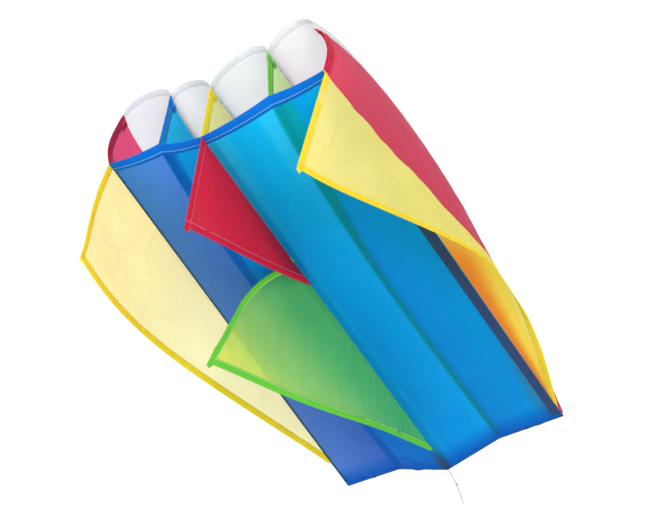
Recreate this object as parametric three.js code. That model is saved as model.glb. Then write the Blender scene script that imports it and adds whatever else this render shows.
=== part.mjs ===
// A frameless pocket parafoil kite: four open air cells of ripstop nylon between a lower and an
// upper skin, five ribs, and four triangular flares that hang from the lower seams.
// Millimetres. +X runs across the span, +Y from the open mouths to the trailing edge, +Z up.
// The origin is the mouth end of the centre seam of the lower skin.
import * as THREE from "three";

const { lerp, degToRad } = THREE.MathUtils;

// ---------------------------------------------------------------- driving dimensions
const CHORD = 800;
const CLOTH = 1; // one layer of cloth, with its seam allowances
const HEM_CLOTH = 1.6; // a rolled hem
const HEM = 10; // width of the rolled hems
const LOWER_HEM = 14; // width of the hem across the mouth of the lower skin
const GAP = 0.5; // kept between neighbours that are sewn together
const SEW = 1.4; // from the middle of the lower skin up to the foot of a rib
const SKIN_BULGE = 5; // how far a lower panel swells down between its seams
const TAIL_HEIGHT = 4; // between the skins where the trailing hem joins them
const TAIL_INSET = 0.02; // share of a cell's width left open at each end of its trailing hem
const RIB_BILLOW = 12; // how far an outer rib swells outwards
const RIB_END = 745; // the ribs stop where the skins nearly meet
const FLANGE = 12; // seam allowance turned on to the lower skin

// Each seam of the lower skin: [x, z] at the mouth and at the tail, and how far it sags between.
const SEAMS = [
  { mouth: [-158, 34], tail: [-193, 34], sag: 0 },
  { mouth: [-73, 28], tail: [-92, 35], sag: 30 },
  { mouth: [0, 0], tail: [0, 0], sag: 0 },
  { mouth: [104, 27], tail: [99, 32], sag: 38 },
  { mouth: [188, 32], tail: [216, 36], sag: 0 },
];

// Each rib: how far its top leans across at the mouth and further back, and which way it swells.
const RIBS = [
  { name: "left_outer_rib", mouthLean: 6, lean: -20, side: -1, color: 0xd42a4c },
  { name: "left_inner_rib", mouthLean: 5, lean: 0, side: 0, color: 0x1597d8 },
  { name: "centre_rib", mouthLean: 2, lean: 0, side: 0, color: 0xf6e24a },
  { name: "right_inner_rib", mouthLean: -9, lean: 0, side: 0, color: 0x7cc04c },
  { name: "right_outer_rib", mouthLean: -16, lean: 15, side: 1, color: 0xd42a4c },
];

// Height of a rib along the chord: open mouth, deepest a quarter of the way back, thin tail.
const RIB_PROFILE = new THREE.CatmullRomCurve3(
  [
    [0, 114],
    [200, 139],
    [400, 134],
    [600, 78],
    [CHORD, TAIL_HEIGHT],
  ].map(([y, height]) => new THREE.Vector3(0, y, height)),
);
const CELL_RISE = [34, 29, 44, 48]; // how high each upper panel arches at the mouth
const CELL_BACK = [1, 1, 1, 0.6]; // share of that rise left once the cell is past its mouth

// The four flares. first and last are the ends of the root along the chord, depth is the length
// of the front edge, and shift sets the cloth beside the middle of its seam. bend(s, along) is
// the angle of the cloth from straight down, positive towards +X, at s from the root and at a
// distance along it from the mouth.
const FLARES = [
  {
    name: "left_flare",
    seam: 0,
    shift: 0,
    first: 0,
    last: 740,
    depth: 193,
    color: 0xf4e76a,
    bend: (s, along) => -5 - 25 * Math.sin((Math.PI * along) / 827) - 6 * Math.cos(s / 41),
  },
  {
    name: "front_keel",
    seam: 2,
    shift: 1.2,
    first: 0,
    last: 312,
    depth: 184,
    color: 0xc8213c,
    bend: (s, along) => -2 - 9 * (along / 300) ** 2,
  },
  {
    name: "rear_keel",
    seam: 2,
    shift: -1.2,
    first: 248,
    last: 745,
    depth: 214,
    color: 0x6fc25a,
    bend: (s, along) => rearKeelBend(s, along),
  },
  {
    name: "right_flare",
    seam: 4,
    shift: 0,
    first: 0,
    last: 780,
    depth: 193,
    color: 0xf0e278,
    bend: (s, along) => rightFlareBend(s, along),
  },
];
const ROOT_CLEARANCE = 2.5; // from the seam to the first row of a flare's cloth
const TAB_WIDTH = 8; // the bridle tab at the tip of each flare
const TAB_LENGTH = 8;
const TAB_CLOTH = 1.4;

const CORD_DIAMETER = 1.6;
const CORD_SIDES = 8;
const CORD_STEPS = 10; // along each half of the tail cord
// The tail cord's route, from the middle of the trailing edge.
const CORD_ROUTE = [
  [0, 801, 1],
  [0.6, 806, 0.4],
  [1.6, 811.5, -2],
  [3.1, 817, -7],
  [4.6, 821.5, -13],
  [6.2, 825, -20],
  [7.6, 828, -28],
  [9, 830.5, -37],
  [10, 832, -46],
  [10.6, 833, -53],
];
const KNOT_RADIUS = 2.6;
const KNOT_SPLIT = 0.52; // share of the cord's length in front of the knot

const kite = new THREE.Group();

function addPiece(name, geometry, color, roughness = 0.55) {
  const material = new THREE.MeshStandardMaterial({ color, roughness, metalness: 0 });
  const mesh = new THREE.Mesh(geometry, material);
  mesh.name = name;
  kite.add(mesh);
  return mesh;
}

// ---------------------------------------------------------------- shapes shared by the pieces
function smooth(from, to, value) {
  return THREE.MathUtils.smoothstep(value, from, to);
}

// The rear keel leaves its seam downwards, turns out to -X, and curves down again to its tip.
function rearKeelBend(s, along) {
  const out = -80 + 65 * smooth(250, 650, along);
  const tip = -25 + 50 * smooth(350, 800, along);
  const turned = smooth(4, 22, s);
  return lerp(-12, lerp(out, tip, smooth(19, 121, s)), turned);
}

// The right flare leaves its seam outwards, and folds back in along a ridge that runs out from
// the mouth corner. The fold opens towards the tail, where the whole flare stands outwards.
function rightFlareBend(s, along) {
  const ridge = 0.14 * Math.min(along, 380);
  const inner = -11 + 19.4 * Math.min(along / 300, 1.1) ** 1.7;
  const folded = lerp(77.5, inner, smooth(ridge - 16, ridge + 16, s));
  const open = lerp(26, 73.5, THREE.MathUtils.clamp((along - 330) / 300, 0, 1));
  return lerp(folded, open, smooth(401, 620, along));
}

// A point of lower seam number index, at y along the chord.
function seamPoint(index, y) {
  const { mouth, tail, sag } = SEAMS[index];
  const share = y / CHORD;
  const drop = sag * Math.sin(Math.PI * Math.pow(share, 0.65));
  return new THREE.Vector3(lerp(mouth[0], tail[0], share), y, lerp(mouth[1], tail[1], share) - drop);
}

const PROFILE_SAMPLES = RIB_PROFILE.getPoints(200);

function ribHeight(y) {
  const after = PROFILE_SAMPLES.findIndex((sample) => sample.y >= y);
  if (after < 1) return after < 0 ? TAIL_HEIGHT : PROFILE_SAMPLES[0].z;
  const [low, high] = [PROFILE_SAMPLES[after - 1], PROFILE_SAMPLES[after]];
  return lerp(low.z, high.z, (y - low.y) / (high.y - low.y));
}

// A point of rib number index: up goes from 0 at the lower seam to 1 at the upper one.
function ribPoint(index, y, up) {
  const { mouthLean, lean, side } = RIBS[index];
  const share = y / CHORD;
  const leaning = mouthLean * Math.exp(-share / 0.05) + lean * Math.sin(Math.PI * Math.pow(share, 0.8));
  const billow = side * RIB_BILLOW * Math.sin(Math.PI * up) * (1 - share ** 4);
  const foot = seamPoint(index, y);
  return foot.add(new THREE.Vector3(leaning * up + billow, 0, ribHeight(y) * up));
}

function lowerPoint(cell, across, y) {
  const left = seamPoint(cell, y);
  const right = seamPoint(cell + 1, y);
  const share = lerp(GAP / (right.x - left.x), 1 - GAP / (right.x - left.x), across);
  const swell = SKIN_BULGE * 4 * across * (1 - across) * (1 - (y / CHORD) ** 6);
  return left.lerp(right, share).add(new THREE.Vector3(0, 0, -swell));
}

function upperPoint(cell, across, y) {
  const left = ribPoint(cell, y, 1);
  const right = ribPoint(cell + 1, y, 1);
  const turn = Math.PI * across;
  const back = lerp(1, CELL_BACK[cell], smooth(0, 130, y));
  const rise = CELL_RISE[cell] * back * (1 - (y / CHORD) ** 2.2);
  const inset = (CLOTH + GAP) / (right.x - left.x);
  const share = lerp(inset, 1 - inset, (1 - Math.cos(turn)) / 2);
  return left.lerp(right, share).add(new THREE.Vector3(0, 0, SEW + rise * Math.sin(turn)));
}

// A point of a flare's cloth at a distance along from the mouth and s from the root.
function flarePoint(flare, along, s) {
  const steps = Math.max(4, Math.ceil(s / 4));
  const point = seamPoint(flare.seam, along);
  point.x += flare.shift;
  for (let step = 0; step < steps; step += 1) {
    const angle = degToRad(flare.bend((s * (step + 0.5)) / steps, along));
    point.x += (Math.sin(angle) * s) / steps;
    point.z -= (Math.cos(angle) * s) / steps;
  }
  return point;
}

// A closed sheet of even thickness: point(u, v) is its middle surface, u and v from 0 to 1.
function sheet(point, columns, rows, thickness) {
  const step = 1e-3;
  const positions = [];
  for (const side of [1, -1]) {
    for (let i = 0; i <= columns; i += 1) {
      for (let j = 0; j <= rows; j += 1) {
        const [u, v] = [i / columns, j / rows];
        const alongU = point(Math.min(u + step, 1), v).sub(point(Math.max(u - step, 0), v));
        const alongV = point(u, Math.min(v + step, 1)).sub(point(u, Math.max(v - step, 0)));
        const normal = alongU.cross(alongV).normalize();
        const corner = point(u, v).addScaledVector(normal, (side * thickness) / 2);
        positions.push(corner.x, corner.y, corner.z);
      }
    }
  }
  const at = (side, i, j) => side * (columns + 1) * (rows + 1) + i * (rows + 1) + j;
  const faces = [];
  for (let i = 0; i < columns; i += 1) {
    for (let j = 0; j < rows; j += 1) {
      const [a, b, c, d] = [at(0, i, j), at(0, i + 1, j), at(0, i + 1, j + 1), at(0, i, j + 1)];
      faces.push(a, b, c, a, c, d);
      const [e, f, g, h] = [at(1, i, j), at(1, i + 1, j), at(1, i + 1, j + 1), at(1, i, j + 1)];
      faces.push(e, g, f, e, h, g);
    }
  }
  const rim = [];
  for (let i = 0; i < columns; i += 1) rim.push([i, 0]);
  for (let j = 0; j < rows; j += 1) rim.push([columns, j]);
  for (let i = columns; i > 0; i -= 1) rim.push([i, rows]);
  for (let j = rows; j > 0; j -= 1) rim.push([0, j]);
  rim.forEach(([i, j], place) => {
    const [nextI, nextJ] = rim[(place + 1) % rim.length];
    const [a, b] = [at(1, i, j), at(1, nextI, nextJ)];
    const [c, d] = [at(0, nextI, nextJ), at(0, i, j)];
    faces.push(a, b, c, a, c, d);
  });
  const geometry = new THREE.BufferGeometry();
  geometry.setAttribute("position", new THREE.Float32BufferAttribute(positions, 3));
  geometry.setIndex(faces);
  return geometry;
}

// ---------------------------------------------------------------- canopy
const SKIN_BLUE = 0x0d8fdc;
const HEM_BLUE = 0x0a5fc4;
const SKIN_WHITE = 0xf0f1f3;
const PANEL_FRONT = HEM + GAP;
const LOWER_FRONT = LOWER_HEM + GAP;
const PANEL_BACK = CHORD - HEM - GAP;

for (let cell = 0; cell < SEAMS.length - 1; cell += 1) {
  const number = cell + 1;
  const lower = (u, v) => lowerPoint(cell, u, lerp(LOWER_FRONT, PANEL_BACK, v));
  addPiece(`lower_panel_${number}`, sheet(lower, 4, 10, CLOTH), SKIN_BLUE);

  const lowerHem = (u, v) => lowerPoint(cell, u, LOWER_HEM * v);
  addPiece(`lower_mouth_hem_${number}`, sheet(lowerHem, 4, 1, HEM_CLOTH), HEM_BLUE);

  const upper = (u, v) => upperPoint(cell, u, lerp(PANEL_FRONT, PANEL_BACK, v));
  addPiece(`upper_panel_${number}`, sheet(upper, 8, 10, CLOTH), SKIN_WHITE);

  const upperHem = (u, v) => upperPoint(cell, u, HEM * v);
  addPiece(`upper_mouth_hem_${number}`, sheet(upperHem, 8, 1, HEM_CLOTH), SKIN_WHITE);

  const tailHem = (u, v) => {
    const across = lerp(TAIL_INSET, 1 - TAIL_INSET, u);
    const low = lowerPoint(cell, across, lerp(CHORD - HEM, CHORD, v));
    return low.add(new THREE.Vector3(0, 0, (TAIL_HEIGHT + SEW) / 2));
  };
  addPiece(`trailing_hem_${number}`, sheet(tailHem, 2, 1, TAIL_HEIGHT + SEW + CLOTH), HEM_BLUE);
}

RIBS.forEach(({ name, color }, index) => {
  const ribFoot = (y) => SEW / ribHeight(y);
  const rib = (u, v) => {
    const y = lerp(PANEL_FRONT, RIB_END, u);
    return ribPoint(index, y, lerp(ribFoot(y), 1, v));
  };
  addPiece(name, sheet(rib, 10, 4, CLOTH), color);

  const hemFoot = (y) => (SEW + GAP) / ribHeight(y);
  const mouthHem = (u, v) => ribPoint(index, HEM * u, lerp(hemFoot(HEM * u), 1, v));
  addPiece(`${name}_mouth_hem`, sheet(mouthHem, 1, 4, HEM_CLOTH), color);
});

// The seam allowance of each rib lies on the inside of the lower skin, beside its seam.
const FLANGES = [
  { name: "left_edge_seam_tape", cell: 0, fromLeft: true, color: 0x24406e },
  { name: "left_inner_seam_tape", cell: 1, fromLeft: true, color: 0x0a5fc4 },
  { name: "centre_seam_tape", cell: 2, fromLeft: true, color: 0x7c8a6a },
  { name: "right_inner_seam_tape", cell: 3, fromLeft: true, color: 0x129aa0 },
  { name: "right_edge_seam_tape", cell: 3, fromLeft: false, color: 0x24406e },
];
const FLANGE_LIFT = 2.8; // from the middle of the skin to the middle of the tape
for (const { name, cell, fromLeft, color } of FLANGES) {
  const tape = (u, v) => {
    const y = lerp(LOWER_FRONT + GAP, PANEL_BACK - GAP, v);
    const width = seamPoint(cell + 1, y).x - seamPoint(cell, y).x;
    const near = (1.5 * CLOTH) / width;
    const inside = lerp(near, near + FLANGE / width, u);
    const point = lowerPoint(cell, fromLeft ? inside : 1 - near - FLANGE / width + inside - near, y);
    return point.add(new THREE.Vector3(0, 0, FLANGE_LIFT));
  };
  addPiece(name, sheet(tape, 1, 10, CLOTH), color);
}

// ---------------------------------------------------------------- flares
// A sheet of a flare between two cut lines, each a function of the distance along the root.
function flareSheet(flare, from, to, inner, outer, columns, rows, thickness) {
  const point = (u, v) => {
    const along = lerp(from, to, u);
    return flarePoint(flare, along, lerp(inner(along), outer(along), v));
  };
  return sheet(point, columns, rows, thickness);
}

for (const flare of FLARES) {
  const { name, first, last, depth, color } = flare;
  const length = last - first;
  const slant = Math.hypot(1, depth / length);
  const edge = (along) => depth * (1 - (along - first) / length);
  const hemInside = (along) => edge(along) - HEM * slant;
  const panelOutside = (along) => hemInside(along) - 2 * GAP * slant;
  const root = () => ROOT_CLEARANCE;
  const whereEdge = (height) => first + length * (1 - height / depth);

  const panelEnd = whereEdge((HEM + GAP) * slant + ROOT_CLEARANCE + 2);
  const panelStart = first + HEM + GAP;
  const panel = flareSheet(flare, panelStart, panelEnd, root, panelOutside, 12, 7, CLOTH);
  addPiece(name, panel, color);

  const frontHem = flareSheet(flare, first, first + HEM, root, edge, 1, 8, HEM_CLOTH);
  addPiece(`${name}_front_hem`, frontHem, color);

  const hemEnd = whereEdge(ROOT_CLEARANCE + 4);
  const hemRoot = (along) => Math.max(hemInside(along), ROOT_CLEARANCE);
  const lowerHem = flareSheet(flare, panelStart, hemEnd, hemRoot, edge, 12, 1, HEM_CLOTH);
  addPiece(`${name}_lower_hem`, lowerHem, color);

  // The bridle tab carries on from the tip, in line with the front edge and quite flat.
  const tip = flarePoint(flare, first, depth + GAP);
  const direction = tip.clone().sub(flarePoint(flare, first, depth)).normalize();
  const tab = (u, v) => {
    const at = tip.clone().addScaledVector(direction, TAB_LENGTH * v);
    return at.add(new THREE.Vector3(0, TAB_WIDTH * u, 0));
  };
  addPiece(`${name}_bridle_tab`, sheet(tab, 1, 1, TAB_CLOTH), color);
}

// ---------------------------------------------------------------- tail cord
const cordRoute = new THREE.CatmullRomCurve3(CORD_ROUTE.map((point) => new THREE.Vector3(...point)));

function cordTube(from, to, steps) {
  const circle = new THREE.Shape();
  circle.absarc(0, 0, CORD_DIAMETER / 2, 0, 2 * Math.PI);
  const points = [];
  for (let i = 0; i <= steps; i += 1) points.push(cordRoute.getPointAt(lerp(from, to, i / steps)));
  const extrudePath = new THREE.CatmullRomCurve3(points);
  return new THREE.ExtrudeGeometry(circle, { curveSegments: CORD_SIDES / 4, steps, extrudePath });
}

const knotHalf = (KNOT_RADIUS + 0.4) / cordRoute.getLength();
addPiece("tail_loop", cordTube(0, KNOT_SPLIT - knotHalf, CORD_STEPS), 0xe6e6ea);
addPiece("tail_cord", cordTube(KNOT_SPLIT + knotHalf, 1, CORD_STEPS), 0xe6e6ea);
const knot = addPiece("tail_knot", new THREE.SphereGeometry(KNOT_RADIUS, 10, 8), 0xe6e6ea);
knot.position.copy(cordRoute.getPointAt(KNOT_SPLIT));

export default kite;
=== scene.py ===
import math
from collections import namedtuple
import bpy
import numpy as np
from mathutils import Matrix, Vector, noise


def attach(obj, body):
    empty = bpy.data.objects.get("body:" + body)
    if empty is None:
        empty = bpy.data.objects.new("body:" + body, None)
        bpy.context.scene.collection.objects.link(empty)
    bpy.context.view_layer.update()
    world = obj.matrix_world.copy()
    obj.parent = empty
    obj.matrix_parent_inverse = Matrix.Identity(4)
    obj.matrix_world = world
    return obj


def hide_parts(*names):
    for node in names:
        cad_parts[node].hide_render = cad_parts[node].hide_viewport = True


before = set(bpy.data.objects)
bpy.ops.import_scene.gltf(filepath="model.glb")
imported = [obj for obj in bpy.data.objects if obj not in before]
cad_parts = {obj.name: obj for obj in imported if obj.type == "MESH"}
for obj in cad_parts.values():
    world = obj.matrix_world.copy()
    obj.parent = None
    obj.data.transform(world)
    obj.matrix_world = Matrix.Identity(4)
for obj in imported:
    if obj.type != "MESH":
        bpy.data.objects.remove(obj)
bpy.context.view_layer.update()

MM = 0.001
scene = bpy.context.scene


# ------------------------------------------------------------------ camera
def make_camera():
    azimuth, elevation, roll = math.radians(29.18), math.radians(-48.08), math.radians(1.413)
    right = Vector((math.cos(azimuth), math.sin(azimuth), 0))
    back = Vector((math.sin(azimuth) * math.cos(elevation), -math.cos(azimuth) * math.cos(elevation),
                   math.sin(elevation)))
    up = back.cross(right)
    turned_right = right * math.cos(roll) + up * math.sin(roll)
    turned_up = up * math.cos(roll) - right * math.sin(roll)
    data = bpy.data.cameras.new("camera")
    data.sensor_width = 36
    data.lens = 71.54
    data.clip_end = 60
    distance = 2.145
    camera = bpy.data.objects.new("camera", data)
    basis = Matrix((turned_right, turned_up, back)).transposed().to_4x4()
    target = Vector((-0.0184, 0.400, 0.1610))
    camera.matrix_world = Matrix.Translation(target + back * distance) @ basis
    scene.collection.objects.link(camera)
    scene.camera = camera


make_camera()


# ------------------------------------------------------------------ materials
# Spacings, widths and heights on the cloth, in metres.
RIPSTOP = 0.005  # between the heavier threads of the cloth
THREAD = 0.0007
STITCH = 0.0032  # from one stitch to the next
STITCH_WIDTH = 0.0012
WEAVE_HEIGHT = 0.00012
CREASE_HEIGHT = 0.0045
# Shares of a spacing that its line or stitch fills.
HEAVY_THREAD_SHARE = 0.12
STITCH_SHARE = 0.72
# The cloth's finish.
ROUGHNESS = 0.5
GLOSS = 0.06
THREAD_WHITE = 0xF4F4F8


def rgb(hex_color):
    return np.array([hex_color >> shift & 255 for shift in (16, 8, 0)]) / 255


def linear(color):
    color = np.asarray(color, float)
    return np.where(color <= 0.04045, color / 12.92, ((color + 0.055) / 1.055) ** 2.4)


def socket_color(hex_color):
    return (*linear(rgb(hex_color)), 1)


def math_node(nodes, links, operation, first, second=None, third=None):
    node = nodes.new("ShaderNodeMath")
    node.operation = operation
    for socket, value in zip(node.inputs, (first, second, third)):
        if value is None:
            continue
        if isinstance(value, (int, float)):
            socket.default_value = value
        else:
            links.new(value, socket)
    return node.outputs[0]


def set_node(nodes, kind, **values):
    """A new shader node with constant inputs. An underscore stands for a space in an input's name."""
    node = nodes.new("ShaderNode" + kind)
    for name, value in values.items():
        node.inputs[name.replace("_", " ")].default_value = value
    return node


def mix_node(nodes, links, first, second, factor=1.0, blend="MIX"):
    """Mixes two colours. Each is an output, or the hex of a plain colour."""
    node = nodes.new("ShaderNodeMix")
    node.data_type = "RGBA"
    node.blend_type = blend
    for name, value in (("Factor", factor), ("A", first), ("B", second)):
        if isinstance(value, int):
            node.inputs[name].default_value = socket_color(value)
        elif isinstance(value, float):
            node.inputs[name].default_value = value
        else:
            links.new(value, node.inputs[name])
    return node.outputs["Result"]


def cloth(name, color=None, clear=0.0, clear_color=0xFFFFFF, glow=0.3, vary=0.05, wrinkle=0.5,
          folds=0.06, stitch=None, thread=THREAD_WHITE):
    """Thin ripstop nylon. glow is the share of light that comes through the cloth, and clear the
    share seen straight through it. wrinkle is how strong its fine creases are, and folds how dark the
    painted shade in its packing creases is. With no color, the cloth takes each point's painted
    colour, its dye with painted light and shade. The UV map is in metres, and stitch is the distance
    of a line of stitches along v."""
    made = bpy.data.materials.new(name)
    made.use_nodes = True
    nodes, links = made.node_tree.nodes, made.node_tree.links
    nodes.clear()
    out = nodes.new("ShaderNodeOutputMaterial")
    coords = nodes.new("ShaderNodeTexCoord")
    split = nodes.new("ShaderNodeSeparateXYZ")
    links.new(coords.outputs["UV"], split.inputs[0])
    u, v = split.outputs[0], split.outputs[1]

    # Slow changes of tone in the dyed cloth.
    slow = set_node(nodes, "TexNoise", Scale=9.0, Detail=3.0)
    links.new(coords.outputs["Object"], slow.inputs["Vector"])
    tone = set_node(nodes, "MapRange", From_Min=0.3, From_Max=0.7, To_Min=1.0 - vary, To_Max=1.0 + vary * 0.6)
    links.new(slow.outputs["Fac"], tone.inputs["Value"])

    def repeated(coordinate, spacing, filled):
        """1 on the first part of each spacing along the cloth, and 0 on the rest."""
        turns = math_node(nodes, links, "MULTIPLY", coordinate, 1 / spacing)
        part = math_node(nodes, links, "FRACT", turns)
        return math_node(nodes, links, "LESS_THAN", part, filled)

    def heavy_thread(coordinate):
        return repeated(coordinate, RIPSTOP, HEAVY_THREAD_SHARE)

    grid = math_node(nodes, links, "MAXIMUM", heavy_thread(u), heavy_thread(v))
    darker = math_node(nodes, links, "MULTIPLY_ADD", grid, -0.05, 1.0)
    shade = math_node(nodes, links, "MULTIPLY", tone.outputs[0], darker)

    # Straight creases from packing, with painted shade in them, which come and go.
    crumple = set_node(nodes, "TexVoronoi")
    crumple.feature = "DISTANCE_TO_EDGE"
    crumple.inputs["Scale"].default_value = 11.0
    links.new(coords.outputs["Object"], crumple.inputs["Vector"])
    patchy = set_node(nodes, "TexNoise", Scale=14.0)
    links.new(coords.outputs["Object"], patchy.inputs["Vector"])
    depth = set_node(nodes, "MapRange", From_Min=0.45, From_Max=0.6, To_Max=folds)
    links.new(patchy.outputs["Fac"], depth.inputs["Value"])
    line = set_node(nodes, "MapRange", From_Max=0.035, To_Min=1.0, To_Max=0.0)
    links.new(crumple.outputs["Distance"], line.inputs["Value"])
    lost_light = math_node(nodes, links, "MULTIPLY", line.outputs[0], depth.outputs[0])
    kept_light = math_node(nodes, links, "SUBTRACT", 1.0, lost_light)
    shade = math_node(nodes, links, "MULTIPLY", shade, kept_light)
    if color is None:
        # Each point's painted colour: its dye with painted light and shade.
        dye_and_painted_light = nodes.new("ShaderNodeAttribute")
        dye_and_painted_light.attribute_name = "dye_and_painted_light"
        color = dye_and_painted_light.outputs["Color"]
    face_color = mix_node(nodes, links, color, shade, blend="MULTIPLY")

    if stitch is not None:
        off = math_node(nodes, links, "ABSOLUTE", math_node(nodes, links, "SUBTRACT", v, stitch))
        on_line = math_node(nodes, links, "LESS_THAN", off, STITCH_WIDTH / 2)
        mask = math_node(nodes, links, "MULTIPLY", on_line, repeated(u, STITCH, STITCH_SHARE))
        face_color = mix_node(nodes, links, face_color, thread, mask)

    # The weave, the grid and small creases raise the surface a little.
    def threads(coordinate):
        turned = math_node(nodes, links, "MULTIPLY", coordinate, math.tau / THREAD)
        return math_node(nodes, links, "SINE", turned)

    weave = math_node(nodes, links, "MULTIPLY", threads(u), threads(v))
    fine = set_node(nodes, "Bump", Strength=0.25, Distance=WEAVE_HEIGHT)
    links.new(math_node(nodes, links, "MULTIPLY_ADD", grid, 1.6, weave), fine.inputs["Height"])
    crease = set_node(nodes, "TexNoise", Scale=26.0, Detail=4.0, Roughness=0.55, Distortion=0.8)
    links.new(coords.outputs["Object"], crease.inputs["Vector"])
    bump = set_node(nodes, "Bump", Strength=wrinkle, Distance=CREASE_HEIGHT)
    links.new(crease.outputs["Fac"], bump.inputs["Height"])
    links.new(fine.outputs["Normal"], bump.inputs["Normal"])

    face = set_node(nodes, "BsdfPrincipled", Roughness=ROUGHNESS, Specular_IOR_Level=GLOSS)
    links.new(face_color, face.inputs["Base Color"])
    links.new(bump.outputs["Normal"], face.inputs["Normal"])
    through = nodes.new("ShaderNodeBsdfTranslucent")
    links.new(face_color, through.inputs["Color"])
    links.new(bump.outputs["Normal"], through.inputs["Normal"])
    body = nodes.new("ShaderNodeMixShader")
    body.inputs[0].default_value = glow
    links.new(face.outputs[0], body.inputs[1])
    links.new(through.outputs[0], body.inputs[2])
    if clear <= 0:
        links.new(body.outputs[0], out.inputs["Surface"])
        return made
    see = set_node(nodes, "BsdfTransparent", Color=socket_color(clear_color))
    whole = nodes.new("ShaderNodeMixShader")
    whole.inputs[0].default_value = clear
    links.new(body.outputs[0], whole.inputs[1])
    links.new(see.outputs[0], whole.inputs[2])
    links.new(whole.outputs[0], out.inputs["Surface"])
    return made


# ------------------------------------------------------------------ the kite's shape, in mm
CHORD = 800
TAIL_HEIGHT = 4
SKIN_BULGE = 5
RIB_BILLOW = 12
HEM = 10
LOWER_HEM = 14
# Each seam of the lower skin: x and z at the mouth and at the tail, and the sag between them.
SEAMS = [((-158, 34), (-193, 34), 0), ((-73, 28), (-92, 35), 30), ((0, 0), (0, 0), 0),
         ((104, 27), (99, 32), 38), ((188, 32), (216, 36), 0)]
# Each rib: how far its top leans over at the mouth and behind it, and the side it billows to.
RIBS = [(6, -20, -1), (5, 0, 0), (2, 0, 0), (-9, 0, 0), (-16, 15, 1)]
# How far the upper skin arches up over each cell, and the share of that behind the mouths.
CELL_RISE = [34, 29, 44, 48]
CELL_BACK = [1, 1, 1, 0.6]
# The ribs' height along the chord.
PROFILE = [(0, 114), (200, 139), (400, 134), (600, 78), (CHORD, TAIL_HEIGHT)]


def lerp(a, b, t):
    return a + (b - a) * t


def smooth(low, high, value):
    t = min(max((value - low) / (high - low), 0), 1)
    return t * t * (3 - 2 * t)


def profile_samples():
    ends = [np.array(p, float) for p in PROFILE]
    points = [2 * ends[0] - ends[1], *ends, 2 * ends[-1] - ends[-2]]
    samples = []
    for i in range(len(ends) - 1):
        p0, p1, p2, p3 = points[i:i + 4]
        d0, d1, d2 = (np.linalg.norm(b - a) ** 0.5 for a, b in ((p0, p1), (p1, p2), (p2, p3)))
        t1 = ((p1 - p0) / d0 - (p2 - p0) / (d0 + d1) + (p2 - p1) / d1) * d1
        t2 = ((p2 - p1) / d1 - (p3 - p1) / (d1 + d2) + (p3 - p2) / d2) * d1
        for t in np.linspace(0, 1, 60, endpoint=i == len(ends) - 2):
            samples.append(p1 + t1 * t + (-3 * p1 + 3 * p2 - 2 * t1 - t2) * t * t
                           + (2 * p1 - 2 * p2 + t1 + t2) * t ** 3)
    return np.array(samples)


SAMPLES = profile_samples()


def rib_height(y):
    return float(np.interp(y, SAMPLES[:, 0], SAMPLES[:, 1]))


def seam_point(index, y):
    mouth, tail, sag = SEAMS[index]
    share = max(y, 0) / CHORD
    drop = sag * math.sin(math.pi * share ** 0.65)
    return Vector((lerp(mouth[0], tail[0], share), y, lerp(mouth[1], tail[1], share) - drop))


def rib_point(index, y, up):
    mouth_lean, lean, side = RIBS[index]
    share = max(y, 0) / CHORD
    leaning = mouth_lean * math.exp(-share / 0.05) + lean * math.sin(math.pi * share ** 0.8)
    billow = side * RIB_BILLOW * math.sin(math.pi * up) * (1 - share ** 4)
    return seam_point(index, y) + Vector((leaning * up + billow, 0, rib_height(y) * up))


def lower_point(cell, across, y):
    left, right = seam_point(cell, y), seam_point(cell + 1, y)
    swell = SKIN_BULGE * 4 * across * (1 - across) * (1 - (y / CHORD) ** 6)
    return left.lerp(right, across) - Vector((0, 0, swell))


def upper_point(cell, across, y):
    left, right = rib_point(cell, y, 1), rib_point(cell + 1, y, 1)
    turn = math.pi * across
    back = lerp(1, CELL_BACK[cell], smooth(0, 130, y))
    rise = CELL_RISE[cell] * back * (1 - (max(y, 0) / CHORD) ** 2.2)
    return left.lerp(right, (1 - math.cos(turn)) / 2) + Vector((0, 0, 0.8 + rise * math.sin(turn)))


def left_flare_bend(s, along):
    return -5 - 25 * math.sin(math.pi * along / 827) - 6 * math.cos(s / 41)


def front_keel_bend(s, along):
    return -2 - 9 * (along / 300) ** 2


def rear_keel_bend(s, along):
    out = -80 + 65 * smooth(250, 650, along)
    tip = -25 + 50 * smooth(350, 800, along)
    return lerp(-12, lerp(out, tip, smooth(19, 121, s)), smooth(4, 22, s))


def right_flare_bend(s, along):
    ridge = 0.14 * min(along, 380)
    inner = -11 + 19.4 * min(max(along, 0) / 300, 1.1) ** 1.7
    folded = lerp(77.5, inner, smooth(ridge - 16, ridge + 16, s))
    open_angle = lerp(26, 73.5, min(max((along - 330) / 300, 0), 1))
    return lerp(folded, open_angle, smooth(401, 620, along))


# A flare hangs from a seam, shifted sideways, from first to last along it. It's depth deep at its
# front, and bend is its angle from straight down, in degrees.
Flare = namedtuple("Flare", "seam shift first last depth bend")
FLARES = {
    "left_flare": Flare(0, 0, 0, 740, 193, left_flare_bend),
    "front_keel": Flare(2, 1.2, 0, 312, 184, front_keel_bend),
    "rear_keel": Flare(2, -1.2, 248, 745, 214, rear_keel_bend),
    "right_flare": Flare(4, 0, 0, 780, 193, right_flare_bend),
}


def flare_point(name, along, s):
    """The point of a flare that is s down the cloth from its seam."""
    kind = FLARES[name]
    steps = max(4, math.ceil(s / 5))
    point = seam_point(kind.seam, along)
    point.x += kind.shift * min(s / 6, 1)
    for step in range(steps):
        angle = math.radians(kind.bend(s * (step + 0.5) / steps, along))
        point.x += math.sin(angle) * s / steps
        point.z -= math.cos(angle) * s / steps
    return point


def flare_edge(name, along):
    """How far down the cloth a flare's free edge is."""
    kind = FLARES[name]
    return kind.depth * max(1 - (along - kind.first) / (kind.last - kind.first), 0)


# ------------------------------------------------------------------ meshes
def soft_noise(x, y, z=0.0):
    """Smooth noise from -1 to 1. The third number, and what's added to the others, picks a pattern."""
    return noise.noise(Vector((x, y, z)))


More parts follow.
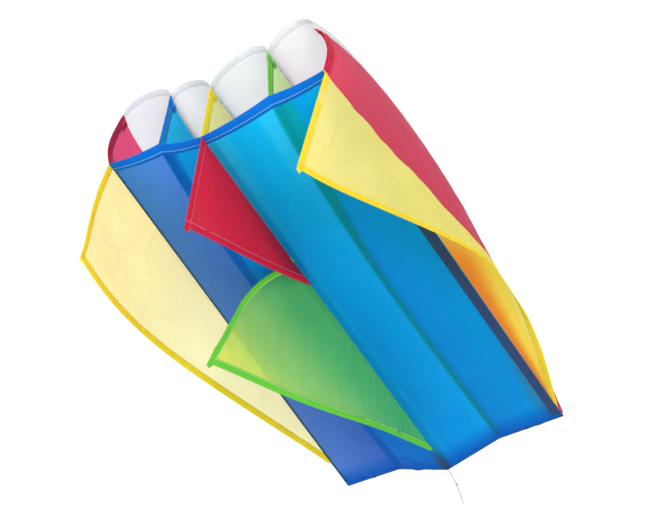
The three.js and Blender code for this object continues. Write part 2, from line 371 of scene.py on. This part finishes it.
def ridge(x, y, z=0.0):
    """Sharp crests from flat ground, from 0 to 1."""
    return 1 - min(1, 2.6 * abs(soft_noise(x, y, z)))


def grid_normals(grid):
    along_u = np.gradient(grid, axis=0)
    along_v = np.gradient(grid, axis=1)
    normals = np.cross(along_u, along_v)
    length = np.linalg.norm(normals, axis=2, keepdims=True)
    length[length < 1e-9] = 1  # where the grid runs to a point
    return normals / length


def grid_mesh(name, grid, uvs, material, body, replaced=()):
    """A quad mesh over a grid of points in mm, with its UV map in metres."""
    columns, rows = grid.shape[:2]
    mesh = bpy.data.meshes.new(name)
    quads = [(i * rows + j, (i + 1) * rows + j, (i + 1) * rows + j + 1, i * rows + j + 1)
             for i in range(columns - 1) for j in range(rows - 1)]
    mesh.from_pydata((grid.reshape(-1, 3) * MM).tolist(), [], quads)
    layer = mesh.uv_layers.new(name="UVMap")
    flat = uvs.reshape(-1, 2) * MM
    corners = np.array(quads).reshape(-1)
    layer.data.foreach_set("uv", flat[corners].reshape(-1))
    mesh.polygons.foreach_set("use_smooth", [True] * len(mesh.polygons))
    mesh.materials.append(material)
    mesh.update()
    piece = bpy.data.objects.new(name, mesh)
    scene.collection.objects.link(piece)
    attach(piece, body)
    if replaced:
        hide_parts(*replaced)
    return piece


def arc_uvs(grid):
    """Lengths along the cloth from the first column and the first row, in mm."""
    uvs = np.zeros(grid.shape[:2] + (2,))
    uvs[1:, :, 0] = np.cumsum(np.linalg.norm(np.diff(grid, axis=0), axis=2), axis=0)
    uvs[:, 1:, 1] = np.cumsum(np.linalg.norm(np.diff(grid, axis=1), axis=2), axis=1)
    return uvs


def flat_size(grid):
    uvs = arc_uvs(grid)
    return float(uvs[:, :, 0].max()) * MM, float(uvs[:, :, 1].max()) * MM


def declare(piece, width, length, held, **more):
    """Takes the size, in metres, of the rectangle that a sheet of cloth is cut from and clamps it to at least
    10.1 mm.
    """
    width, length = max(width, 0.0101), max(length, 0.0101)


# ------------------------------------------------------------------ colours
# The lower skin's colours are painted per point: dye with painted light and shade.
LOWER_SKIN_DYE_AND_LIGHT = cloth("lower_skin_ripstop", glow=0.3, vary=0.03)
HEM_BLUE = cloth("hem_blue", 0x026CD2, glow=0.06, stitch=0.0095, thread=0x78B4EC)
TAIL_BLUE = cloth("tail_hem_blue", 0x0056B6, glow=0.06, stitch=0.0007, thread=0x0A2460)
WHITE = cloth("white_ripstop", 0xE0E1E3, clear=0.06, glow=0.5, vary=0.02, wrinkle=0.35, folds=0.02)
WHITE_HEM = cloth("white_hem", 0xF6F7F9, clear=0.55, glow=0.5, vary=0.02, folds=0.0)
CRIMSON = cloth("crimson_ripstop", 0xDA3458, clear=0.05, glow=0.45)
CRIMSON_LEFT = cloth("crimson_ripstop_thin", 0xDA4470, clear=0.12, clear_color=0xEC7898, glow=0.5)
CRIMSON_HEM = cloth("crimson_hem", 0xCC1C44, glow=0.1, stitch=0.0085, thread=0xE890A8)
KEEL_RED = cloth("keel_red_ripstop", glow=0.2)
KEEL_RED_HEM = cloth("keel_red_hem", 0xCC1C3C, glow=0.06, stitch=0.0095, thread=0xEE98A4)
LIGHT_BLUE = cloth("light_blue_ripstop", 0x28C8FF, clear=0.3, clear_color=0x20BCFA, glow=0.5)
RIB_BLUE_HEM = cloth("rib_blue_hem", 0x0A7CDC, glow=0.1, stitch=0.0085, thread=0x50A8E8)
CREAM = cloth("yellow_ripstop_thin", 0xFFFF98, clear=0.6, clear_color=0xFFF8B4, glow=0.5)
LEMON = cloth("lemon_hem", 0xFFF044, glow=0.5, clear=0.15, clear_color=0xFFF060, stitch=0.0085,
              thread=0xFFF8C0)
GREEN_THIN = cloth("green_ripstop_thin", 0xDCFFAC, clear=0.45, clear_color=0xE0F8C0, glow=0.5)
GREEN_HEM = cloth("green_hem", 0x64C83C, glow=0.08, stitch=0.0085, thread=0xB8E8A0)
FLARE_LEFT = cloth("left_flare_ripstop", clear=0.10, glow=0.45)
FLARE_RIGHT = cloth("right_flare_ripstop", clear=0.03, glow=0.4)
KEEL_GREEN = cloth("keel_green_ripstop", clear=0.16, clear_color=0xD0F0A0, glow=0.4)
TAPE_NAVY = cloth("navy_tape", 0x2C4468, glow=0.0)
TAPE_DARK = cloth("dark_green_tape", 0x1E4A4C, glow=0.0)
TAPE_GREEN = cloth("green_tape", 0x4FB45A, glow=0.3)
TAPE_BLUE = cloth("blue_tape", 0x0A5CC0, glow=0.3)
TAPE_OLIVE = cloth("olive_tape", 0x8C8A58, glow=0.3)
LINE = cloth("tail_line", 0xA9B1C0, glow=0.0)


def blend_tones(first, second, share):
    return first + (second - first) * share


def paint(piece, tones):
    """Gives every point of a grid its own colour: its dye with painted light and shade."""
    points = tones.reshape(-1, 3)
    layer = piece.data.color_attributes.new("dye_and_painted_light", "FLOAT_COLOR", "POINT")
    colors = np.ones((len(points), 4))
    colors[:, :3] = linear(points)
    layer.data.foreach_set("color", colors.reshape(-1))


# The tones of each lower panel: front left, front right, rear left, rear right.
# The first panel's purple is painted light: red light reflected from the crimson outer rib beside it.
LOWER_TONES = [(0x428ADC, 0x4E8ADC, 0x5484D8, 0x3C6CC2), (0x0098EA, 0x00A0EE, 0x0072CE, 0x0078D0),
               (0x08A8EA, 0x08BAFA, 0x008CDC, 0x009CE6), (0x009AEE, 0x00AEF6, 0x0088DA, 0x0098DE)]
# Bands beside a seam: cell, whether it's on the cell's left side, width at the mouth and at the
# tail, tone and strength at the mouth and at the tail. They are painted light and shade: the darker
# and tinted bands are the ribs and their seam allowances behind the cloth, painted as seen through it
# and shading it; the lighter bands are painted light beside a seam.
PAINTED_SEAM_LIGHT_BANDS = [(1, True, (25, 17), (0x0060C4, 0x0060C4), (0.8, 0.6)),
              (2, False, (30, 20), (0x38C4FC, 0x10A8F0), (0.65, 0.2)),
              (3, True, (34, 9), (0x00A8B4, 0x0088A0), (0.85, 0.9)),
              (2, True, (40, 26), (0x34BCEC, 0x10A4E4), (0.6, 0.4))]
TAIL_TONE, TAIL_PATCH, PAINTED_SHADE_GREY = rgb(0x0058BC), rgb(0x3A4658), rgb(0x467696)


def lower_tone(cell, across, y):
    front_left, front_right, rear_left, rear_right = (rgb(c) for c in LOWER_TONES[cell])
    front = blend_tones(front_left, front_right, across)
    rear = blend_tones(rear_left, rear_right, across)
    tone = blend_tones(front, rear, smooth(0, 480, y))
    width = (seam_point(cell + 1, y) - seam_point(cell, y)).x
    # Painted light and shade beside the seams.
    for band_cell, on_left, reaches, colors, strengths in PAINTED_SEAM_LIGHT_BANDS:
        if band_cell != cell:
            continue
        back = smooth(0, 330, y)
        reach = lerp(*reaches, back)
        distance = width * (across if on_left else 1 - across)
        amount = lerp(*strengths, back) * (1 - smooth(reach * 0.6, reach, distance))
        tone = blend_tones(tone, blend_tones(rgb(colors[0]), rgb(colors[1]), back), amount)
    # Painted grey shade beside seam 4, wider toward the tail.
    if cell == 3:
        rear = smooth(470, 770, y)
        beside_seam = 1 - smooth(15, 18 + 22 * rear, width * (1 - across))
        tone = blend_tones(tone, PAINTED_SHADE_GREY, 0.75 * rear * beside_seam)
    tone = blend_tones(tone, TAIL_TONE, 0.8 * smooth(738, 798, y))
    if cell in (1, 2):
        from_middle = width * (across if cell == 2 else 1 - across)
        patch = smooth(715, 790, y) * (1 - smooth(2, 13, from_middle))
        tone = blend_tones(tone, TAIL_PATCH, 0.8 * patch)
    return tone


def left_flare_tone(along, s):
    return blend_tones(rgb(0xF8E894), rgb(0xF2EAAE), smooth(60, 360, along))


def front_keel_tone(along, s):
    # Painted shade near the root, growing toward the rear, where the keel meets the skin.
    root_shade = (1 - smooth(6, 46, s)) * smooth(60, 250, along)
    tone = blend_tones(rgb(0xCC2240), rgb(0xC62E46), smooth(90, 180, s))
    return blend_tones(tone, rgb(0x8E2438), 0.75 * root_shade)


def rear_keel_tone(along, s):
    # Painted see-through colour: bluer green near the root, where the blue skin is behind the keel, and
    # yellower toward the tip, where the yellow left flare is behind it.
    tone = blend_tones(rgb(0x58C476), rgb(0x94D472), smooth(20, 110, s))
    return blend_tones(tone, rgb(0xD8E264), smooth(105, 190, s))


def right_flare_tone(along, s):
    pale = blend_tones(rgb(0xF0E484), rgb(0xEADE6E), smooth(0, 420, along))
    rear = smooth(290, 420, along)
    out = s / max(flare_edge("right_flare", along), 1)
    # Toward the rear, near the seam, painted see-through colour: the crimson rib behind the yellow cloth
    # shows as orange beside the seam, fading through a deeper yellow.
    warm = blend_tones(pale, rgb(0xF4DA4C), rear * (1 - smooth(0.5, 0.95, out)))
    return blend_tones(warm, rgb(0xF0942C), rear * (1 - smooth(0.1, 0.52, out)))


# ------------------------------------------------------------------ skins
CELLS = 4


def skin_grid(point, per_cell, rows, first, last):
    ys = np.linspace(first, last, rows)
    columns = []
    for cell in range(CELLS):
        steps = np.linspace(0, 1, per_cell, endpoint=False)
        columns += [(cell, t) for t in steps]
    columns.append((CELLS - 1, 1.0))
    grid = np.array([[point(cell, t, y) for y in ys] for cell, t in columns])
    return grid, columns, ys


def seam_pucker(height, edge, fade, pattern_x, pattern_y):
    """Small folds beside a seam, fainter with each step of 1 / fade from it, and none at the stitches."""
    return height * math.exp(-edge * fade) * soft_noise(pattern_x, pattern_y) * smooth(0, 0.03, edge)


def lower_skin():
    grid, columns, ys = skin_grid(lower_point, 26, 150, 0, CHORD - 2)
    normals = grid_normals(grid)
    for i, (cell, t) in enumerate(columns):
        edge = min(t, 1 - t)
        for j, y in enumerate(ys):
            x = grid[i, j, 0]
            free = smooth(0, 0.12, edge)
            pucker = seam_pucker(0.7, edge, 16, cell * 7.1 + t * 3, y / 9)
            rolls = 1.5 * soft_noise(x / 34 + cell * 5, y / 120, 2.0) * free
            tail = 2.2 * smooth(560, 790, y) * soft_noise(x / 20, y / 70, 5.0)
            tail -= 2.4 * smooth(640, 780, y) * ridge((x + y) / 60, (y - x) / 24, 6.0)
            tail *= smooth(0.14, 0.34, edge)
            mouth = 1.4 * math.exp(-y / 45) * soft_noise(x / 15, y / 50, 8.0) * free
            grid[i, j] += normals[i, j] * (pucker + rolls + tail + mouth)
    piece = grid_mesh("lower_skin", grid, arc_uvs(grid), LOWER_SKIN_DYE_AND_LIGHT, "canopy",
                      [f"lower_panel_{n}" for n in range(1, 5)])
    paint(piece, np.array([[lower_tone(cell, t, y) for y in ys] for cell, t in columns]))
    declare(piece, *flat_size(grid), "stretched")


def upper_skin():
    grid, columns, ys = skin_grid(upper_point, 30, 130, 0, CHORD - 2)
    normals = grid_normals(grid)
    for i, (cell, t) in enumerate(columns):
        edge = min(t, 1 - t)
        for j, y in enumerate(ys):
            free = smooth(0, 0.1, edge)
            pucker = seam_pucker(1.6, edge, 9, cell * 5.3 + t * 2, y / 17)
            rolls = 1.6 * soft_noise(t * 5 + cell * 9, y / 90, 3.0) * free
            tail = 2.0 * smooth(480, 760, y) * soft_noise(t * 8 + cell * 3, y / 60, 7.0) * free
            grid[i, j] += normals[i, j] * (pucker + rolls + tail)
    piece = grid_mesh("upper_skin", grid, arc_uvs(grid), WHITE, "canopy",
                      [f"upper_panel_{n}" for n in range(1, 5)])
    declare(piece, *flat_size(grid), "stretched")


lower_skin()
upper_skin()


# ------------------------------------------------------------------ hems
def hem_strip(name, edge_point, inward, normal, width, us, material, body, replaced, lift=0.6):
    """A rolled hem: up one face of the cloth, round its edge and back down the other face."""
    profile = [(width, lift * 0.4), (width * 0.97, lift), (width * 0.5, lift), (width * 0.06, lift),
               (-0.5, lift * 0.6), (-0.7, 0), (-0.5, -lift * 0.6), (width * 0.06, -lift),
               (width * 0.5, -lift), (width * 0.97, -lift), (width, -lift * 0.4)]
    grid = np.empty((len(us), len(profile), 3))
    uvs = np.zeros((len(us), len(profile), 2))
    length = 0.0
    before = None
    for i, u in enumerate(us):
        edge = edge_point(u)
        if before is not None:
            length += (edge - before).length
        before = edge
        for j, (depth, up) in enumerate(profile):
            at = inward(u, depth) if depth > 0 else edge + (edge - inward(u, 1)) * (-depth)
            grid[i, j] = at + normal(u, max(depth, 0)) * up
            uvs[i, j] = (length, abs(depth))
    piece = grid_mesh(name, grid, uvs, material, body, replaced)
    declare(piece, length * MM, 2 * (width + 1) * MM, "folded")
    return piece


def straight_up(u, depth):
    return Vector((0, 0, 1))


def square_to(ahead):
    """The direction square to a line of a mouth and to the chord."""
    return ahead.cross(Vector((0, 1, 0))).normalized()


def lower_mouth_hem():
    def inward(u, depth):
        cell = min(int(u), CELLS - 1)
        return lower_point(cell, u - cell, depth)

    hem_strip("lower_mouth_hem", lambda u: inward(u, 0), inward, straight_up, LOWER_HEM,
              np.linspace(0, CELLS, 105), HEM_BLUE, "canopy",
              [f"lower_mouth_hem_{n}" for n in range(1, 5)], 0.9)


def upper_mouth_hem(cell):
    def inward(u, depth):
        return upper_point(cell, min(max(u, 0), 1), depth)

    def normal(u, depth):
        return square_to(inward(u + 0.01, depth) - inward(u - 0.01, depth))

    name = f"upper_mouth_hem_{cell + 1}"
    hem_strip(name + "_cloth", lambda u: inward(u, 0), inward, normal, HEM, np.linspace(0.002, 0.998, 40),
              WHITE_HEM, "canopy", [name], 0.6)


lower_mouth_hem()
for cell_index in range(CELLS):
    upper_mouth_hem(cell_index)


# ------------------------------------------------------------------ ribs
RIB_NAMES = ["left_outer_rib", "left_inner_rib", "centre_rib", "right_inner_rib", "right_outer_rib"]
RIB_CLOTHS = [CRIMSON_LEFT, LIGHT_BLUE, CREAM, GREEN_THIN, CRIMSON]
RIB_HEMS = [CRIMSON_HEM, RIB_BLUE_HEM, LEMON, GREEN_HEM, CRIMSON_HEM]
RIB_SLOTS = ["crimson_ripstop", "light_blue_ripstop", "yellow_ripstop", "green_ripstop", "crimson_ripstop"]
RIB_HEM = 13
CORNER_FOLD = 19


def rib(index):
    name, slot = RIB_NAMES[index], RIB_SLOTS[index]
    ys = np.linspace(0, CHORD - 8, 110)
    ups = np.linspace(0, 1, 24)
    fold_height, ridge_height = (2.8, 2.2) if index in (0, 4) else (1.2, 1.0)
    grid = np.array([[rib_point(index, y, up) for up in ups] for y in ys])
    normals = grid_normals(grid)
    for i, y in enumerate(ys):
        for j, up in enumerate(ups):
            free = smooth(0, 0.15, min(up, 1 - up))
            height = fold_height * soft_noise(y / 70 + up * 1.5, up * 2.2, index * 3.1)
            height += ridge_height * ridge(y / 110, up * 3.4 + y / 260, index * 2.3)
            height += 0.8 * soft_noise(y / 18, up * 5, index * 5.7)
            grid[i, j] += normals[i, j] * height * free
    piece = grid_mesh(name + "_cloth", grid, arc_uvs(grid), RIB_CLOTHS[index], "canopy", [name])
    declare(piece, *flat_size(grid), "stretched")

    def edge(up):
        return rib_point(index, 0, up)

    def inward(up, depth):
        return rib_point(index, depth, up)

    def normal(up, depth):
        return square_to(inward(min(up + 0.01, 1), depth) - inward(max(up - 0.01, 0), depth))

    hem_strip(name + "_hem_cloth", edge, inward, normal, RIB_HEM, np.linspace(0, 1, 26), RIB_HEMS[index],
              "canopy", [name + "_mouth_hem"], 0.7)
    # The end of the hem is folded over and sewn down at the upper corner.
    hem_strip(name + "_corner_fold", edge, inward, normal, CORNER_FOLD, np.linspace(0.88, 0.995, 6),
              RIB_HEMS[index], "canopy", [], 1.8)


for rib_index in range(len(RIBS)):
    rib(rib_index)


# ------------------------------------------------------------------ seam tapes along the lower skin
INSIDE, BELOW = 1.8, -0.9  # how far a tape lies above the skin
SEAM_THREADS = 0.8  # from the seam to a tape's edge


def tape(name, seam, side, width, material, lift):
    """A strip of seam allowance beside a seam: side is +1 to the right of the seam, -1 to the left."""
    ys = np.linspace(LOWER_HEM + 1, CHORD - 12, 120)
    across = np.linspace(0, 1, 5)
    cell = seam if side > 0 else seam - 1
    grid = np.empty((len(ys), len(across), 3))
    for i, y in enumerate(ys):
        cell_width = (seam_point(cell + 1, y) - seam_point(cell, y)).x
        for j, t in enumerate(across):
            share = (SEAM_THREADS + width * t) / cell_width
            at = lower_point(cell, share if side > 0 else 1 - share, y)
            wave = 0.5 * soft_noise(y / 12, seam * 3.3) * math.sin(math.pi * t)
            grid[i, j] = at + Vector((0, 0, lift + wave))
    piece = grid_mesh(name + "_cloth", grid, arc_uvs(grid), material, "canopy", [name])
    declare(piece, *flat_size(grid), "stretched")


tape("left_edge_seam_tape", 0, 1, 3, TAPE_DARK, BELOW)
tape("left_inner_seam_tape", 1, 1, 12, TAPE_BLUE, INSIDE)
tape("centre_seam_tape", 2, 1, 12, TAPE_OLIVE, INSIDE)
tape("right_inner_seam_tape", 3, 1, 12, TAPE_GREEN, INSIDE)
tape("right_edge_seam_tape", 4, -1, 13.5, TAPE_NAVY, BELOW)


# ------------------------------------------------------------------ trailing edge
def trailing_hem(cell):
    def inward(u, depth):
        between_skins = TAIL_HEIGHT * (0.35 + 0.3 * depth / HEM)
        return lower_point(cell, u, CHORD - depth) + Vector((0, 0, between_skins))

    name = f"trailing_hem_{cell + 1}"
    hem_strip(name + "_cloth", lambda u: inward(u, 0), inward, straight_up, HEM, np.linspace(0, 1, 24),
              TAIL_BLUE, "canopy", [name], 1.6)


for cell_index in range(CELLS):
    trailing_hem(cell_index)


# ------------------------------------------------------------------ flares
HEM_END_DEPTH = 4.2  # how deep a flare still is where its lower hem ends


def flare(name, panel_cloth, hem_cloth, folds, tone):
    """A flare, its hems and its tab. The body that they ride on has the flare's name."""
    kind = FLARES[name]
    seam, first, last, depth = kind.seam, kind.first, kind.last, kind.depth
    alongs = np.linspace(first, last, 120)
    shares = np.linspace(0, 1, 44)
    grid = np.array([[flare_point(name, a, flare_edge(name, a) * t) for t in shares] for a in alongs])
    normals = grid_normals(grid)
    for i, along in enumerate(alongs):
        edge = flare_edge(name, along)
        for j, t in enumerate(shares):
            s = edge * t
            to_edge = edge - s
            free = smooth(0, 14, s) * smooth(0, 12, to_edge)
            height = folds(along, s) * free
            height += 1.0 * soft_noise(along / 30, s / 34, seam * 2.7) * free
            by_hem = math.exp(-to_edge / 14) * smooth(0, 6, to_edge)
            height += 0.7 * by_hem * soft_noise(along / 11, 3.3, seam)
            grid[i, j] += normals[i, j] * height
    piece = grid_mesh(name + "_cloth", grid, arc_uvs(grid), panel_cloth, name, [name])
    paint(piece, np.array([[tone(a, flare_edge(name, a) * t) for t in shares] for a in alongs]))
    declare(piece, (last - first) * MM, depth * MM, "hung")

    def down_cloth(along, s):
        return flare_point(name, along, s + 1) - flare_point(name, along, max(s - 1, 0))

    def front_inward(s, inset):
        return flare_point(name, first + inset, s)

    def front_normal(s, inset):
        return square_to(down_cloth(first + inset, s))

    hem_strip(name + "_front_hem_cloth", lambda s: front_inward(s, 0), front_inward, front_normal, HEM,
              np.linspace(0, depth, 60), hem_cloth, name, [name + "_front_hem"], 0.7)

    slant = math.hypot(1, depth / (last - first))

    def below_seam(along, inset):
        return max(flare_edge(name, along) - inset * slant, 0)

    def lower_inward(along, inset):
        return flare_point(name, along, below_seam(along, inset))

    def lower_normal(along, inset):
        s = below_seam(along, inset)
        rearward = flare_point(name, along + 1, s) - flare_point(name, along - 1, s)
        return down_cloth(along, s).cross(rearward).normalized()

    hem_last = lerp(last, first, HEM_END_DEPTH / depth)
    hem_strip(name + "_lower_hem_cloth", lambda along: lower_inward(along, 0), lower_inward, lower_normal,
              HEM, np.linspace(first, hem_last, 110), hem_cloth, name, [name + "_lower_hem"], 0.7)

    tab(name, hem_cloth)


TAB_LENGTH = 6.5
TAB_WIDTH = 7.2
TAB_HALF_GAP = 0.75


def tab(name, material):
    """A loop of woven tape sewn over the tip."""
    first, depth = FLARES[name].first, FLARES[name].depth
    tip = flare_point(name, first, depth - 1.5)
    ahead = (flare_point(name, first, depth) - flare_point(name, first, depth - 4)).normalized()
    side = square_to(ahead)
    grid = np.empty((17, 5, 3))
    for i, turn in enumerate(np.linspace(0, math.pi, 17)):
        loop = ahead * TAB_LENGTH * max(math.sin(turn), 0) ** 0.6 + side * TAB_HALF_GAP * math.cos(turn)
        for j, share in enumerate(np.linspace(0, 1, 5)):
            grid[i, j] = tip + loop + Vector((0, 0.4 + TAB_WIDTH * share, 0))
    piece = grid_mesh(name + "_tab_loop", grid, arc_uvs(grid), material, name, [name + "_bridle_tab"])
    declare(piece, *flat_size(grid), "folded")


def left_folds(along, s):
    slow = 2.2 * soft_noise(along / 95, s / 60, 1.1)
    return slow + 1.4 * ridge((along + s) / 80, (along - s) / 160, 7.7)


def red_folds(along, s):
    return 1.2 * soft_noise(along / 60, s / 50, 4.4)


def green_folds(along, s):
    slow = 2.0 * soft_noise((along - s * 0.4) / 42, (s + along * 0.3) / 70, 6.2)
    return slow + 2.6 * ridge((along - s * 0.9) / 34, (s + along * 0.5) / 130, 2.2)


def right_folds(along, s):
    round_tip = ridge(math.atan2(along + 20, 220 - s) * 5, 0.3, 9.1)
    near_tip = smooth(10, 90, along) * (1 - smooth(150, 420, along))
    return 1.8 * soft_noise(along / 80, s / 55, 9.4) + 1.8 * round_tip * near_tip


flare("left_flare", FLARE_LEFT, LEMON, left_folds, left_flare_tone)
flare("front_keel", KEEL_RED, KEEL_RED_HEM, red_folds, front_keel_tone)
flare("rear_keel", KEEL_GREEN, GREEN_HEM, green_folds, rear_keel_tone)
flare("right_flare", FLARE_RIGHT, LEMON, right_folds, right_flare_tone)


# ------------------------------------------------------------------ tail cord
LINE_DIAMETER = 0.0016
ROUTE = [(0, 801, 1), (0.6, 806, 0.4), (1.6, 811.5, -2), (3.1, 817, -7), (4.6, 821.5, -13),
         (6.2, 825, -20), (7.6, 828, -28), (9, 830.5, -37), (10, 832, -46), (10.6, 833, -53)]


def line_curve(name, points, replaced):
    """A round length of the tail line along points in metres."""
    curve = bpy.data.curves.new(name, "CURVE")
    curve.dimensions = "3D"
    curve.bevel_depth = LINE_DIAMETER / 2
    curve.bevel_resolution = 3
    curve.use_fill_caps = True
    spline = curve.splines.new("POLY")
    spline.points.add(len(points) - 1)
    for target, point in zip(spline.points, points):
        target.co = (*point, 1)
    curve.materials.append(LINE)
    line = bpy.data.objects.new(name, curve)
    scene.collection.objects.link(line)
    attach(line, "canopy")
    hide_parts(*replaced)
    return line


def rounded(points):
    """A smooth path through the points, with four steps between each two."""
    path = []
    for i in range(len(points) - 1):
        p0 = points[max(i - 1, 0)]
        p1, p2 = points[i], points[i + 1]
        p3 = points[min(i + 2, len(points) - 1)]
        for t in (0, 0.25, 0.5, 0.75):
            path.append(0.5 * ((2 * p1) + (p2 - p0) * t + (2 * p0 - 5 * p1 + 4 * p2 - p3) * t * t
                               + (3 * p1 - p0 - 3 * p2 + p3) * t ** 3))
    path.append(points[-1])
    return path


def knot_turns(path):
    """Three turns of the line round the middle of its path, a little wider in the middle."""
    middle = len(path) // 2
    ahead = (path[middle + 1] - path[middle - 1]).normalized()
    side = square_to(ahead)
    other = ahead.cross(side).normalized()
    turns = []
    for share in np.linspace(0, 1, 49):
        turn = 3 * math.tau * share
        radius = 0.0013 * (0.75 + 0.35 * math.sin(math.pi * share))
        around = side * math.cos(turn) + other * math.sin(turn)
        turns.append(path[middle] + ahead * (share - 0.5) * 0.0034 + around * radius)
    return turns


def tail_cord():
    points = [Vector(p) * MM for p in ROUTE]
    path = rounded(points)
    line = line_curve("tail_cord_line", path, ["tail_loop", "tail_cord"])
    knot = line_curve("tail_knot_turns", knot_turns(path), ["tail_knot"])


tail_cord()


# ------------------------------------------------------------------ floor and light
WORLD_LIGHT = 1.14


def stage():
    mesh = bpy.data.meshes.new("floor")
    size, height = 30.0, -4.0
    mesh.from_pydata([(-size, -size, height), (size, -size, height), (size, size, height),
                      (-size, size, height)], [], [(0, 1, 2, 3)])
    floor = bpy.data.objects.new("floor", mesh)
    scene.collection.objects.link(floor)
    pale = bpy.data.materials.new("floor_pale")
    pale.use_nodes = True
    surface = pale.node_tree.nodes["Principled BSDF"]
    surface.inputs["Base Color"].default_value = (0.86, 0.86, 0.86, 1)
    surface.inputs["Roughness"].default_value = 0.9
    mesh.materials.append(pale)
    world = bpy.data.worlds.new("world")
    world.use_nodes = True
    background = world.node_tree.nodes["Background"]
    background.inputs["Color"].default_value = (1, 1, 1, 1)
    background.inputs["Strength"].default_value = WORLD_LIGHT
    scene.world = world


def area_light(name, location, target, size, power):
    data = bpy.data.lights.new(name, "AREA")
    data.size = size
    data.energy = power
    lamp = bpy.data.objects.new(name, data)
    lamp.location = location
    direction = Vector(target) - Vector(location)
    lamp.rotation_euler = direction.to_track_quat("-Z", "Y").to_euler()
    scene.collection.objects.link(lamp)


stage()
area_light("key", (-1.6, -0.6, 2.4), (0, 0.4, 0), 1.6, 40)
area_light("fill", (1.8, -2.0, -1.6), (0, 0.4, 0), 1.2, 42)
scene.view_settings.view_transform = "Standard"
